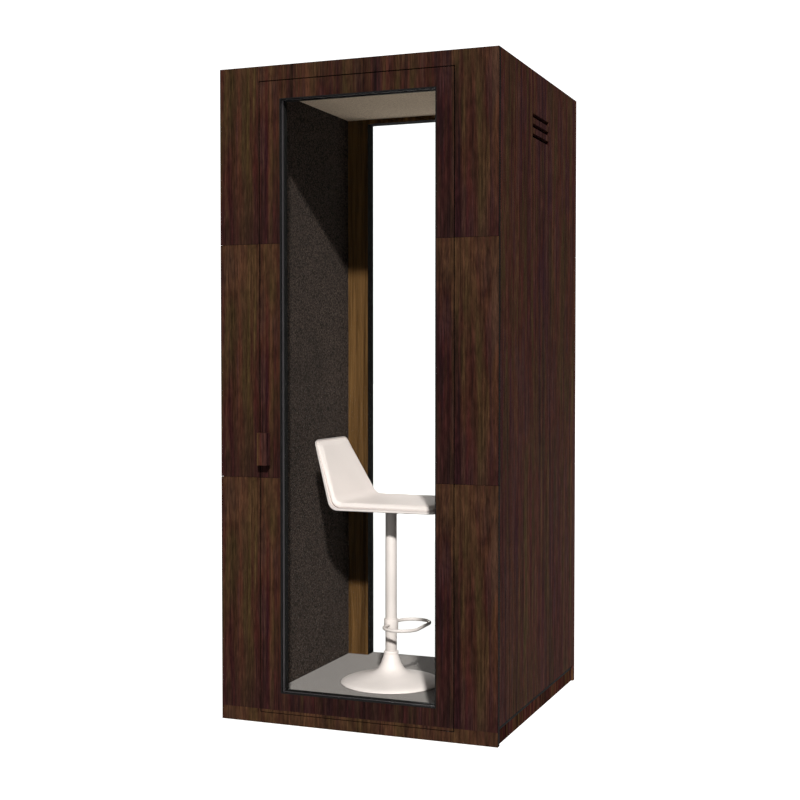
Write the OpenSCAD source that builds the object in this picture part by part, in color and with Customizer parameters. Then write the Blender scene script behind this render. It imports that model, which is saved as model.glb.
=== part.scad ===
// Free-standing acoustic telephone booth: glazed door, glazed back, two solid side walls, bar stool.
// X runs across the booth, Y runs from the door to the back, Z is up; the origin is on the floor
// under the middle of the cabin. All sizes are in millimetres.

/* [Booth] */
// Outside width of the booth
booth_w = 1000; // [960:10:1100]
// Outside depth of the booth, without the handle
booth_d = 1000; // [960:10:1100]
// Outside height of the booth
booth_h = 2240; // [2180:10:2400]
// Thickness of a side wall, from cladding to felt
wall_t = 100; // [90:1:110]
// Height of the cabin floor above the ground
floor_h = 62; // [60:1:70]
// Height of the cabin ceiling below the top of the booth
ceiling_drop = 40; // [36:1:50]

/* [Boards] */
// Thickness of the veneered outer boards
board_t = 18; // [16:1:19]
// Height of the lower joint between the stacked boards
low_joint_z = 845; // [700:5:880]
// Height of the upper joint between the stacked boards
high_joint_z = 1640; // [1400:5:1800]
// Width of the hairline joint between two boards
joint_gap = 1; // [0.5:0.5:2]
// Height of the shadow line under the side cladding
skirting_h = 62; // [50:1:80]

/* [Door] */
// Width of the doorway in the front boards
doorway_w = 703; // [690:1:710]
// Height of the sill under the door
sill_h = 38; // [38:1:38]
// Height of the boards above the door
head_h = 50; // [45:1:60]
// Gap around the door
door_gap = 3; // [3:0.5:4]
// Thickness of the door
door_t = 52; // [52:1:52]
// Visible width of the door's latch stile
latch_stile_w = 78.5; // [74:0.5:84]
// Visible width of the door's hinge stile
hinge_stile_w = 64; // [60:0.5:72]
// Visible height of the door's top rail
top_rail_h = 64; // [60:1:80]
// Visible height of the door's bottom rail
bottom_rail_h = 72; // [65:1:100]

/* [Handle] */
// Width of the block handle
handle_w = 36; // [32:1:38]
// Height of the block handle
handle_h = 110; // [90:1:140]
// How far the handle stands out from the door
handle_out = 45; // [40:1:50]
// Height of the middle of the handle
handle_z = 945; // [930:5:1100]

/* [Ventilation] */
// Length of each outlet slot in the right side
slot_l = 208; // [160:1:212]
// Height of each outlet slot
slot_h = 14; // [8:1:18]
// Spacing of the three outlet slots
slot_pitch = 34; // [28:1:36]
// Height of the middle slot
vent_z = 2052; // [1900:1:2060]
// Distance of the slots behind the middle of the booth
vent_y = -8; // [-20:1:20]

/* [Stool] */
// Position of the stool across the booth
stool_x = -56; // [-60:1:-40]
// Position of the stool along the booth
stool_y = -30; // [-40:1:0]
// Height of the seat surface above the cabin floor
seat_h = 675; // [660:1:690]
// Width of the seat
seat_w = 400; // [360:5:410]
// Radius of the stool's base
base_r = 185; // [160:5:200]

/* [Desk] */
// Depth of the wall desk
desk_d = 225; // [200:5:245]
// Length of the wall desk
desk_l = 520; // [400:10:540]
// Height of the desk's top above the ground
desk_z = 1115; // [1110:5:1140]

/* [Hidden] */
$fn = 48;
over = 1;

// Booth planes
half_w = booth_w / 2;
front_y = -booth_d / 2;
rear_y = booth_d / 2;
felt_t = 12;
shell_x = half_w - board_t;
frame_x = half_w - wall_t + felt_t;
cabin_x = half_w - wall_t;
frame_front_y = front_y + board_t;
frame_rear_y = rear_y - board_t;
ground_gap = 3;
ceiling_z = booth_h - ceiling_drop;
roof_z = booth_h - board_t;
carpet_t = 6;
deck_z = floor_h - carpet_t;
shadow_gap = 2;

// Base frame and feet
base_z = 12;
base_top = sill_h;
base_inset = 20;
base_rail_w = 50;
base_cross_w = 80;
foot_r = 22;
foot_t = 6;
foot_nut_r = 9.8;
stud_r = 5;
stud_top = 36;
foot_offset = half_w - base_inset - base_rail_w / 2;
foot_y = booth_d / 2 - base_inset - base_rail_w / 2;

// Front frame and door stops
front_frame_t = 70;
seal_gap = 7;
post_back_y = frame_front_y + front_frame_t;
stop_face_y = front_y + door_t + seal_gap;
doorway_x = doorway_w / 2;
doorway_top = booth_h - head_h;
latch_stop_w = 10;
hinge_stop_w = 54;
top_stop_h = 42;
seal_w = 10;
latch_seal_w = 8;

// Door leaf
leaf_x = doorway_x - door_gap;
leaf_bottom = sill_h + door_gap;
leaf_top = doorway_top - door_gap;
leaf_back_y = front_y + door_t;
skin_t = 9;
skin_back_y = front_y + skin_t;
view_left = -leaf_x + latch_stile_w;
view_right = leaf_x - hinge_stile_w;
view_bottom = leaf_bottom + bottom_rail_h;
view_top = leaf_top - top_rail_h;
rebate = 12;
glass_bite = 10;
gasket_lip = 4;
gasket_t = 2;
pane_t = 5;
spacer_t = 10;
pane_front_y = skin_back_y + gasket_t;
spacer_y = pane_front_y + pane_t;
inner_pane_y = spacer_y + spacer_t;
bead_y = inner_pane_y + pane_t;

// Pivots, 20 mm in from the hinge edge and 10 mm behind the door's face
pivot_inset = 20;
pivot_x = leaf_x - pivot_inset;
pivot_y = front_y + pivot_inset / 2;
pivot_pin_r = 4;
pivot_clearance = 0.05;
pivot_bush_r = 7;
pivot_bush_l = 27;
pivot_pin_l = 27;
pivot_block_h = 14;

// Magnetic catch
magnet_x = [-270, -210];
magnet_z = [leaf_top - 34, leaf_top - 18];
magnet_back_y = stop_face_y + 8;
catch_plate_t = 2;

// Handle
handle_inset = 9.5;
handle_x = -leaf_x + handle_inset + handle_w / 2;
handle_grip_t = 27;
handle_neck_w = 20;
handle_neck_h = 80;
handle_bolt_r = 3;
handle_bolt_pitch = 50;
handle_bolt_ends = [-0.5, 0.5] * handle_bolt_pitch;

// Rear window
rear_stile_w = 184;
rear_head_h = 57;
rear_frame_t = 60;
rear_glass_inset = 70;
window_x = half_w - rear_stile_w;
window_top = booth_h - rear_head_h;
rear_glass_y = rear_y - rear_glass_inset;
inner_frame_y = rear_glass_y - rear_frame_t;
rear_glass_t = 10;
rear_bite = 8;
gasket_w = 10;
outer_window_x = window_x + 34;
outer_window_top = window_top + 18;
rear_sill_z = base_top + 8;
rear_glass_z = rear_sill_z - 4;

// Wall frames
stud_w = 45;
mid_stud_w = 40;
mid_stud_y = 165;

// Ventilation
duct_l = slot_l + 12;
duct_h = 124;
duct_wall = 3;
fan_bore_r = 57;
fan_ring_l = 38;
fan_hub_r = 20;
fan_blade_r = 54;
fan_blades = 7;
fan_shaft_r = 2.5;
fan_x = frame_x;

// Ceiling light
light_x = [200, 320];
light_y = [-270, 250];
light_drop = 2;
light_t = 18;
light_rim = 6;
light_bottom = ceiling_z - light_drop;

// Desk and controls
desk_t = 25;
desk_y = 90;
bracket_l = 100;
bracket_h = 60;
bracket_t = 6;
bracket_inset = 60;
bracket_nose = 12;
bracket_flange = 15;
flange_t = 4;
panel_t = 12;
panel_y = [40, 200];
panel_z = [1190, 1270];
rocker_x = cabin_x - panel_t + 4;
rocker_y = 172;
rocker_z = 1230;
rocker_w = 26;
rocker_h = 38;
rocker_tilt = 5;
rocker_pin_r = 1.5;
dial_y = 128;
dial_r = 14;
dial_shaft_r = 3;
socket_r = 14;
socket_depth = 6;
socket_y = [62, 98];
panel_face_x = cabin_x - panel_t;
control_clearance = 0.05;

// Stool
column_r = 21;
column_bore_r = 17;
column_top = 686;
guide_l = 40;
piston_r = 14;
piston_l = 266;
spigot_r = 10;
stool_clearance = 0.05;
shell_t = 28;
seat_top = floor_h + seat_h;
seat_bottom = seat_top - shell_t;
seat_front = 241;
seat_back = -159;
back_lean = 92;
back_h = 225;
back_tip_r = 7;
back_top_w = 290;
back_corner_r = 20;
boss_r = 24;
boss_z = column_top + 4;
plate_half = 75;
plate_t = 8;
ring_z = 278;
ring_r = 64;
ring_tube_r = 6;
ring_straight = 108;
ring_reach = 63;
lever_pivot_y = stool_y + 40;
lever_pivot_z = column_top;
lever_drop = 8;
lever_l = 150;

// A box given by its three ranges
module slab(x, y, z) {
    translate([x[0], y[0], z[0]]) cube([x[1] - x[0], y[1] - y[0], z[1] - z[0]]);
}

// An upright frame: a slab with a rectangular window through it along Y
module pierced_slab(x, y, z, window_x, window_z) {
    difference() {
        slab(x, y, z);
        slab(window_x, [y[0] - over, y[1] + over], window_z);
    }
}

// The same solid on both sides of the middle plane
module both_sides() {
    children();
    mirror([1, 0, 0]) children();
}

// A rod along X, Y or Z from a start point
module rod_x(at, r, l) { translate(at) rotate([0, 90, 0]) cylinder(r = r, h = l); }
module rod_y(at, r, l) { translate(at) rotate([-90, 0, 0]) cylinder(r = r, h = l); }
module rod_z(at, r, l) { translate(at) cylinder(r = r, h = l); }

// ---- base and floor ----

module levelling_foot() {
    rod_z([0, 0, 0], foot_r, foot_t);
    translate([0, 0, foot_t]) cylinder(r = foot_nut_r, h = base_z - foot_t, $fn = 6);
    rod_z([0, 0, foot_t], stud_r, stud_top - foot_t);
}

module at_feet() {
    for (x = [-foot_offset, foot_offset], y = [-foot_y, foot_y]) translate([x, y, 0]) children();
    children();
}

module levelling_feet() {
    color("dimgray") at_feet() levelling_foot();
}

module base_frame() {
    outer_x = half_w - base_inset;
    outer_y = booth_d / 2 - base_inset;
    color("#3a3b3d") difference() {
        slab([-outer_x, outer_x], [-outer_y, outer_y], [base_z, base_top]);
        for (side = [-1, 1]) {
            bay_near = base_cross_w / 2;
            bay_far = outer_y - base_rail_w;
            bay_y = side > 0 ? [bay_near, bay_far] : [-bay_far, -bay_near];
            slab([-outer_x + base_rail_w, outer_x - base_rail_w], bay_y,
                 [base_z - over, base_top + over]);
        }
        at_feet() rod_z([0, 0, base_z - over], stud_r + 0.1, stud_top - base_z + over);
        bottom_pivot_pocket();
    }
}

module side_skirtings() {
    color("#2b211d") both_sides()
        slab([shell_x, shell_x + 10], [frame_front_y + shadow_gap, frame_rear_y - shadow_gap],
             [ground_gap, skirting_h]);
}

module threshold_plate() {
    color("silver")
        slab([-doorway_x, pivot_x - 22.5], [frame_front_y, stop_face_y], [sill_h, sill_h + 1.5]);
}

module floor_deck() {
    color("#8d7350") {
        slab([-frame_x, frame_x], [post_back_y, rear_glass_y], [base_top, deck_z]);
        slab([-doorway_x, doorway_x], [stop_face_y, post_back_y], [base_top, deck_z]);
    }
}

module floor_carpet() {
    color("#7d7873") {
        slab([-cabin_x, cabin_x], [post_back_y, inner_frame_y], [deck_z, floor_h]);
        slab([-doorway_x + latch_stop_w, doorway_x - hinge_stop_w], [stop_face_y, post_back_y],
             [deck_z, floor_h]);
        slab([-window_x, window_x], [inner_frame_y, rear_glass_y], [deck_z, floor_h]);
    }
}

// ---- side walls and roof ----

module wall_frame() {
    difference() {
        slab([frame_x, shell_x], [frame_front_y, frame_rear_y], [base_top, roof_z]);
        for (bay = wall_bays())
            slab([frame_x - over, shell_x + over], bay, [base_top + stud_w, roof_z - stud_w]);
    }
}

// The three bays between a wall frame's studs, as ranges of Y
function wall_bays() = [
    [frame_front_y + stud_w, -mid_stud_y - mid_stud_w / 2],
    [-mid_stud_y + mid_stud_w / 2, mid_stud_y - mid_stud_w / 2],
    [mid_stud_y + mid_stud_w / 2, frame_rear_y - stud_w]
];

module wall_frames() {
    color("#b08d5b") both_sides() wall_frame();
}

module wall_core() {
    for (bay = wall_bays())
        slab([frame_x + 2, shell_x - 2], bay, [base_top + stud_w, roof_z - stud_w]);
}

module duct_space(grow) {
    slab([frame_x - over, shell_x + over],
         [vent_y - duct_l / 2 - grow, vent_y + duct_l / 2 + grow],
         [vent_z - duct_h / 2 - grow, vent_z + duct_h / 2 + grow]);
}

module wall_cores() {
    color("#b9b27a") {
        mirror([1, 0, 0]) wall_core();
        difference() {
            wall_core();
            duct_space(1);
        }
    }
}

module cladding() {
    slab([shell_x, half_w], [frame_front_y + shadow_gap, frame_rear_y - shadow_gap],
         [skirting_h + ground_gap, booth_h]);
}

module left_cladding() {
    color("#3c2821") mirror([1, 0, 0]) cladding();
}

module right_cladding() {
    color("#3c2821") difference() {
        cladding();
        for (row = [-1:1])
            slab([shell_x - over, half_w + over], [vent_y - slot_l / 2, vent_y + slot_l / 2],
                 [vent_z + row * slot_pitch - slot_h / 2, vent_z + row * slot_pitch + slot_h / 2]);
    }
}

module felt_panel() {
    slab([cabin_x, frame_x], [post_back_y, inner_frame_y], [deck_z, ceiling_z]);
}

module left_felt() {
    color("#34302d") mirror([1, 0, 0]) felt_panel();
}

module right_felt() {
    color("#34302d") difference() {
        felt_panel();
        rod_x([cabin_x - over, vent_y, vent_z], fan_bore_r + 3, felt_t + 2 * over);
    }
}

module roof_panel() {
    color("#3c2821") slab([-shell_x, shell_x], [frame_front_y, frame_rear_y], [roof_z, booth_h]);
}

module light_space(z) {
    slab(light_x, light_y, z);
}

module ceiling_panel() {
    color("#7a6e62") difference() {
        slab([-frame_x, frame_x], [post_back_y, inner_frame_y], [ceiling_z, roof_z]);
        light_space([ceiling_z - over, light_bottom + light_t]);
    }
}

// ---- front wall ----

// Board frame round an opening, cut into three stacked sheets; layer is 0, 1 or 2 from the bottom
module board_layer(layer, x, y, z, opening_x, opening_z) {
    cuts = [z[0], low_joint_z, high_joint_z, z[1]];
    low = cuts[layer] + (layer > 0 ? joint_gap / 2 : 0);
    high = cuts[layer + 1] - (layer < 2 ? joint_gap / 2 : 0);
    intersection() {
        pierced_slab(x, y, z, opening_x, opening_z);
        slab([x[0] - over, x[1] + over], [y[0] - over, y[1] + over], [low, high]);
    }
}

module front_layer(layer) {
    board_layer(layer, [-half_w, half_w], [front_y, frame_front_y], [ground_gap, booth_h],
                [-doorway_x, doorway_x], [sill_h, doorway_top]);
}

module front_lower_board() {
    color("#3c2821") difference() {
        front_layer(0);
        bottom_pivot_pocket();
    }
}

module front_middle_boards() {
    color("#3c2821") front_layer(1);
}

module front_upper_board() {
    color("#3c2821") difference() {
        front_layer(2);
        top_pivot_pocket();
    }
}

module front_frame() {
    color("#232323") difference() {
        slab([-frame_x, frame_x], [frame_front_y, post_back_y], [base_top, roof_z]);
        slab([-doorway_x, doorway_x], [frame_front_y - over, post_back_y + over],
             [base_top - over, doorway_top]);
        top_pivot_pocket();
    }
}

module door_stops() {
    color("#232323") difference() {
        slab([-doorway_x, doorway_x], [stop_face_y, post_back_y], [deck_z, doorway_top]);
        slab([-doorway_x + latch_stop_w, doorway_x - hinge_stop_w],
             [stop_face_y - over, post_back_y + over],
             [deck_z - over, doorway_top - top_stop_h]);
        slab(magnet_x, [stop_face_y - over, magnet_back_y], magnet_z);
    }
}

module door_seal() {
    seal_left = -doorway_x + 1;
    seal_right = doorway_x - hinge_stop_w + 1 + seal_w;
    seal_top = doorway_top - 6;
    color("black")
        pierced_slab([seal_left, seal_right], [leaf_back_y + 0.5, stop_face_y],
                     [deck_z - seal_w, seal_top],
                     [seal_left + latch_seal_w, seal_right - seal_w], [deck_z, seal_top - seal_w]);
}

// ---- pivots and catch ----

module pivot_block(z) {
    slab([pivot_x - 20, pivot_x + 20], [front_y + 3, front_y + 50], z);
}

module top_pivot_pocket() {
    pivot_block([doorway_top - over, doorway_top + pivot_block_h]);
}

module bottom_pivot_pocket() {
    pivot_block([sill_h - pivot_block_h, sill_h + over]);
}

module top_pivot() {
    color("silver") {
        pivot_block([doorway_top, doorway_top + pivot_block_h]);
        rod_z([pivot_x, pivot_y, doorway_top - pivot_pin_l], pivot_pin_r, pivot_pin_l);
    }
}

module bottom_pivot() {
    color("silver") {
        pivot_block([sill_h - pivot_block_h, sill_h]);
        rod_z([pivot_x, pivot_y, sill_h], pivot_pin_r, pivot_pin_l);
        rod_z([pivot_x, pivot_y, sill_h], pivot_bush_r, door_gap - 0.1);
    }
}

module bush_holes() {
    for (z = [leaf_bottom - over, leaf_top - pivot_bush_l])
        rod_z([pivot_x, pivot_y, z], pivot_bush_r, pivot_bush_l + over);
}

module pivot_bushes() {
    color("#c9b27a") for (z = [leaf_bottom, leaf_top - pivot_bush_l]) difference() {
        rod_z([pivot_x, pivot_y, z], pivot_bush_r, pivot_bush_l);
        rod_z([pivot_x, pivot_y, z - over], pivot_pin_r + pivot_clearance, pivot_bush_l + 2 * over);
    }
}

module catch_magnet() {
    color("#4b4b4b") slab(magnet_x, [leaf_back_y + 0.4, magnet_back_y], magnet_z);
}

module catch_plate_body(grow) {
    slab([magnet_x[0] - 5, magnet_x[1] + 5], [leaf_back_y - catch_plate_t, leaf_back_y + grow],
         [magnet_z[0] - 2, magnet_z[1] + 2]);
}

module catch_plate() {
    color("silver") catch_plate_body(0);
}

// ---- door leaf ----

module bolt_holes(r) {
    for (z = handle_bolt_ends)
        rod_y([handle_x, front_y - handle_out + 10, handle_z + z], r, door_t + 2 * handle_out);
}

module door_latch_stile() {
    color("#2a1c17") difference() {
        slab([-leaf_x, view_left - rebate], [skin_back_y, leaf_back_y], [leaf_bottom, leaf_top]);
        bolt_holes(handle_bolt_r + 0.1);
    }
}

module door_hinge_stile() {
    color("#2a1c17") difference() {
        slab([view_right + rebate, leaf_x], [skin_back_y, leaf_back_y], [leaf_bottom, leaf_top]);
        bush_holes();
    }
}

module door_rails() {
    rail_x = [view_left - rebate, view_right + rebate];
    color("#2a1c17") difference() {
        union() {
            slab(rail_x, [skin_back_y, leaf_back_y], [leaf_bottom, view_bottom - rebate]);
            slab(rail_x, [skin_back_y, leaf_back_y], [view_top + rebate, leaf_top]);
        }
        catch_plate_body(over);
    }
}

module skin_layer(layer) {
    board_layer(layer, [-leaf_x, leaf_x], [front_y, skin_back_y], [leaf_bottom, leaf_top],
                [view_left - gasket_lip, view_right + gasket_lip],
                [view_bottom - gasket_lip, view_top + gasket_lip]);
}

module door_lower_skin() {
    color("#3c2821") difference() {
        skin_layer(0);
        bush_holes();
    }
}

module door_middle_skins() {
    color("#3c2821") difference() {
        skin_layer(1);
        bolt_holes(handle_bolt_r + 0.1);
    }
}

module door_upper_skin() {
    color("#3c2821") difference() {
        skin_layer(2);
        bush_holes();
    }
}

// A rectangular ring round the glazed opening, from one distance outside it to another
module glazing_ring(outer, inner, y) {
    pierced_slab([view_left - outer, view_right + outer], y, [view_bottom - outer, view_top + outer],
                 [view_left - inner, view_right + inner], [view_bottom - inner, view_top + inner]);
}

module door_panes() {
    color("#dfe8e8", 0.3) for (y = [pane_front_y, inner_pane_y])
        slab([view_left - glass_bite, view_right + glass_bite], [y, y + pane_t],
             [view_bottom - glass_bite, view_top + glass_bite]);
}

module door_glass_spacer() {
    color("#a9aaac") glazing_ring(glass_bite, 1, [spacer_y, inner_pane_y]);
}

module door_gasket() {
    color("#101010") {
        glazing_ring(gasket_lip, 0, [front_y + 0.5, pane_front_y]);
        glazing_ring(glass_bite, 0, [skin_back_y, pane_front_y]);
    }
}

module door_beads() {
    color("#2b2b2b") {
        for (x = [view_left - rebate, view_right])
            slab([x, x + rebate], [bead_y, leaf_back_y], [view_bottom - rebate, view_top + rebate]);
        for (z = [view_bottom - rebate, view_top])
            slab([view_left + 0.2, view_right - 0.2], [bead_y, leaf_back_y], [z, z + rebate]);
    }
}

// Block handle on a neck, standing out from y = 0 toward -Y
module handle_block() {
    half = handle_w / 2;
    neck = handle_neck_w / 2;
    translate([handle_x, 0, handle_z]) {
        slab([-half, half], [-handle_out, handle_grip_t - handle_out],
             [-handle_h / 2, handle_h / 2]);
        slab([-neck, neck], [handle_grip_t - handle_out, 0],
             [-handle_neck_h / 2, handle_neck_h / 2]);
    }
}

module outer_handle() {
    color("#33221d") difference() {
        translate([0, front_y, 0]) handle_block();
        bolt_holes(handle_bolt_r);
    }
}

module inner_handle() {
    color("#33221d") difference() {
        translate([0, leaf_back_y, 0]) mirror([0, 1, 0]) handle_block();
        bolt_holes(handle_bolt_r + 0.1);
        for (z = handle_bolt_ends)
            rod_y([handle_x, leaf_back_y + handle_out - 5, handle_z + z], 6, 5 + over);
    }
}

module handle_bolts() {
    color("silver") for (z = handle_bolt_ends) {
        rod_y([handle_x, front_y - handle_out + 12, handle_z + z], handle_bolt_r,
              2 * handle_out + door_t - 17);
        rod_y([handle_x, leaf_back_y + handle_out - 5, handle_z + z], 5.5, 4);
    }
}

// ---- back wall ----

module rear_boards() {
    color("#3c2821") for (layer = [0:2])
        board_layer(layer, [-half_w, half_w], [frame_rear_y, rear_y], [ground_gap, booth_h],
                    [-outer_window_x, outer_window_x], [rear_sill_z, outer_window_top]);
}

module rear_inner_frame() {
    color("#53391f") difference() {
        slab([-frame_x, frame_x], [inner_frame_y, rear_glass_y], [deck_z, roof_z]);
        slab([-window_x, window_x], [inner_frame_y - over, rear_glass_y + over],
             [deck_z - over, window_top]);
    }
}

module rear_retaining_frame() {
    color("#232323")
        pierced_slab([-frame_x, frame_x], [rear_glass_y + rear_glass_t, frame_rear_y],
                     [base_top, roof_z],
                     [-outer_window_x, outer_window_x], [rear_sill_z, outer_window_top]);
}

module rear_glass() {
    color("#dfe8e8", 0.3)
        slab([-outer_window_x - rear_bite, outer_window_x + rear_bite],
             [rear_glass_y, rear_glass_y + rear_glass_t],
             [rear_glass_z, outer_window_top + rear_bite]);
}

module rear_gasket() {
    inner_x = outer_window_x + rear_bite;
    inner_top = outer_window_top + rear_bite;
    color("black")
        pierced_slab([-inner_x - gasket_w, inner_x + gasket_w],
                     [rear_glass_y, rear_glass_y + rear_glass_t],
                     [base_top, inner_top + gasket_w],
                     [-inner_x, inner_x], [rear_glass_z, inner_top]);
}

// ---- ventilation ----

module fan_housing() {
    plate_t = 4;
    color("#1d1d1d") difference() {
        union() {
            difference() {
                duct_box([fan_x, shell_x], 0);
                duct_box([fan_x + plate_t, shell_x + over], duct_wall);
                rod_x([fan_x - over, vent_y, vent_z], fan_bore_r, plate_t + 2 * over);
            }
            difference() {
                rod_x([fan_x, vent_y, vent_z], fan_bore_r + 3, fan_ring_l);
                rod_x([fan_x - over, vent_y, vent_z], fan_bore_r, fan_ring_l + 2 * over);
            }
            rod_x([fan_x, vent_y, vent_z], fan_hub_r, 8);
            for (turn = [0:120:240])
                translate([fan_x, vent_y, vent_z]) rotate([turn, 0, 0])
                    slab([0, 6], [0, fan_bore_r + 1], [-3, 3]);
        }
        rod_x([fan_x + 2, vent_y, vent_z], fan_shaft_r + control_clearance, 10);
    }
}

module duct_box(x, wall) {
    slab(x, [vent_y - duct_l / 2 + wall, vent_y + duct_l / 2 - wall],
         [vent_z - duct_h / 2 + wall, vent_z + duct_h / 2 - wall]);
}

module fan_rotor() {
    blade_x = fan_x + 12;
    color("#2f2f2f") {
        rod_x([fan_x + 3, vent_y, vent_z], fan_shaft_r, 10);
        rod_x([fan_x + 10, vent_y, vent_z], fan_hub_r, 22);
        for (blade = [0:fan_blades - 1])
            translate([blade_x + 9, vent_y, vent_z]) rotate([blade * 360 / fan_blades, 0, 0])
                rotate([0, 0, 40]) slab([-1, 1], [-12, 12], [fan_hub_r - 3, fan_blade_r - 2]);
    }
}

module fan_grille() {
    bar = 6;
    grille_r = fan_bore_r + 13;
    color("#2b2b2b") difference() {
        rod_x([cabin_x - 6, vent_y, vent_z], grille_r, 6);
        intersection() {
            rod_x([cabin_x - 6 - over, vent_y, vent_z], fan_bore_r - 3, 6 + 2 * over);
            for (row = [-4:4])
                slab([cabin_x - 8, cabin_x + over], [vent_y - fan_bore_r, vent_y + fan_bore_r],
                     [vent_z + row * 2 * bar - bar / 2, vent_z + row * 2 * bar + bar / 2]);
        }
    }
}

// ---- ceiling light ----

module inside_light(rim, z) {
    slab([light_x[0] + rim, light_x[1] - rim], [light_y[0] + rim, light_y[1] - rim], z);
}

module ceiling_light() {
    color("#d8d8d6") difference() {
        light_space([light_bottom, light_bottom + light_t]);
        inside_light(light_rim, [light_bottom - over, light_bottom + light_t - light_rim]);
    }
}

module light_diffuser() {
    color("white") inside_light(light_rim + 0.5, [light_bottom + 1, light_bottom + 5]);
}

// ---- desk and controls ----

module desk_top() {
    color("#4a3226")
        slab([cabin_x - desk_d, cabin_x], [desk_y - desk_l / 2, desk_y + desk_l / 2],
             [desk_z - desk_t, desk_z]);
}

module desk_brackets() {
    reach = desk_l / 2 - bracket_inset;
    nose = bracket_nose;
    color("#2b2b2b") for (y = [desk_y - reach, desk_y + reach])
        translate([cabin_x, y, desk_z - desk_t]) {
            rotate([90, 0, 0]) translate([0, 0, -bracket_t / 2]) linear_extrude(bracket_t)
                polygon([[0, 0], [-bracket_l, 0], [-bracket_l, -nose],
                         [-nose, -bracket_h], [0, -bracket_h]]);
            slab([-bracket_l, 0], [-bracket_flange, bracket_flange], [-flange_t, 0]);
            slab([-flange_t, 0], [-bracket_flange, bracket_flange], [-bracket_h, 0]);
        }
}

module control_panel() {
    well_y = rocker_w / 2 + 0.5;
    well_z = rocker_h / 2 + 1.5;
    pin_hole_r = rocker_pin_r + control_clearance;
    color("#e6e6e4") difference() {
        slab([panel_face_x, cabin_x], panel_y, panel_z);
        for (y = socket_y)
            rod_x([panel_face_x - over, y, rocker_z], socket_r, over + socket_depth);
        slab([panel_face_x - over, panel_face_x + 9], [rocker_y - well_y, rocker_y + well_y],
             [rocker_z - well_z, rocker_z + well_z]);
        rod_y([rocker_x, rocker_y - rocker_w / 2 - 3, rocker_z], pin_hole_r, rocker_w + 6);
        rod_x([panel_face_x - over, dial_y, rocker_z], dial_shaft_r + control_clearance, over + 9);
    }
}

module light_rocker() {
    centre = [rocker_x, rocker_y, rocker_z];
    half_y = rocker_w / 2;
    color("white") {
        rod_y([rocker_x, rocker_y - half_y - 2.5, rocker_z], rocker_pin_r, rocker_w + 5);
        translate(centre) rotate([0, rocker_tilt, 0])
            slab([-7, 2.5], [-half_y, half_y], [-rocker_h / 2 + 0.5, rocker_h / 2 - 0.5]);
    }
}

module fan_dial() {
    knob_x = panel_face_x - 14;
    color("#2b2b2b") {
        difference() {
            rod_x([knob_x, dial_y, rocker_z], dial_r, 13);
            slab([knob_x - over, knob_x + 4], [dial_y - 1, dial_y + 1],
                 [rocker_z + 4, rocker_z + dial_r + over]);
        }
        rod_x([panel_face_x - 2, dial_y, rocker_z], dial_shaft_r, 10);
    }
}

// ---- stool ----

module stool_base() {
    color("#e6dedb") translate([stool_x, stool_y, floor_h]) difference() {
        rotate_extrude($fn = 96)
            polygon([[0, 0], [base_r, 0], [base_r, 5], [base_r - 15, 13], [base_r * 0.65, 25], [80, 36],
                     [50, 50], [36, 73], [28, 103], [column_r + 3, 118], [0, 118]]);
        rod_z([0, 0, 8], column_r, 120);
    }
}

module stool_column() {
    bottom = floor_h + 8;
    color("#e6dedb") translate([stool_x, stool_y, 0]) difference() {
        rod_z([0, 0, bottom], column_r, column_top - bottom);
        rod_z([0, 0, bottom + 4], column_bore_r, column_top - guide_l - bottom - 4);
        rod_z([0, 0, column_top - guide_l - over], piston_r + stool_clearance, guide_l + 2 * over);
    }
}

module footrest_ring() {
    half = ring_straight / 2;
    color("#e6dedb") translate([stool_x, stool_y, ring_z]) difference() {
        union() {
            translate([ring_reach, 0, 0]) {
                for (side = [-1, 1]) {
                    rod_y([side * ring_r, -half, 0], ring_tube_r, ring_straight);
                    translate([0, side * half, 0]) rotate([0, 0, side > 0 ? 0 : 180])
                        rotate_extrude(angle = 180) translate([ring_r, 0]) circle(r = ring_tube_r);
                }
            }
            rod_z([0, 0, -20], column_r + 5, 40);
        }
        rod_z([0, 0, -20 - over], column_r, 40 + 2 * over);
    }
}

module gas_piston() {
    top = boss_z - 1;
    color("#c8c4c1") translate([stool_x, stool_y, 0]) {
        rod_z([0, 0, top - piston_l], piston_r, piston_l);
        rod_z([0, 0, top], spigot_r, 16);
    }
}

module seat_plate() {
    ear_z = lever_pivot_z - 6;
    color("#8b8988") translate([stool_x, stool_y, 0]) difference() {
        union() {
            slab([-plate_half, plate_half], [-plate_half, plate_half],
                 [seat_bottom - plate_t, seat_bottom]);
            rod_z([0, 0, boss_z], boss_r, seat_bottom - boss_z);
            for (side = [-1, 1])
                slab([side * 10.5 - 1.5, side * 10.5 + 1.5], [34, 46], [ear_z, seat_bottom - plate_t]);
            rod_x([-11, 40, lever_pivot_z], 3, 22);
        }
        rod_z([0, 0, boss_z - over], spigot_r + stool_clearance, over + 16);
    }
}

module lift_lever() {
    color("#8b8988") translate([stool_x, lever_pivot_y, lever_pivot_z]) difference() {
        union() {
            rod_x([-8.5, 0, 0], 6, 17);
            rotate([-lever_drop, 0, 0]) {
                rod_y([0, 4, 0], 4, lever_l - 24);
                slab([-9, 9], [lever_l - 30, lever_l], [-3, 3]);
            }
        }
        rod_x([-9.5, 0, 0], 3 + stool_clearance, 19);
    }
}

module seat_profile() {
    r = shell_t / 2;
    mid = seat_bottom + r;
    hull() {
        translate([seat_back + r, mid]) circle(r);
        translate([seat_front - r, mid]) circle(r);
    }
    hull() {
        translate([seat_back + r, mid]) circle(r);
        translate([seat_back + r - back_lean, mid + back_h]) circle(back_tip_r);
    }
}

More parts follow.
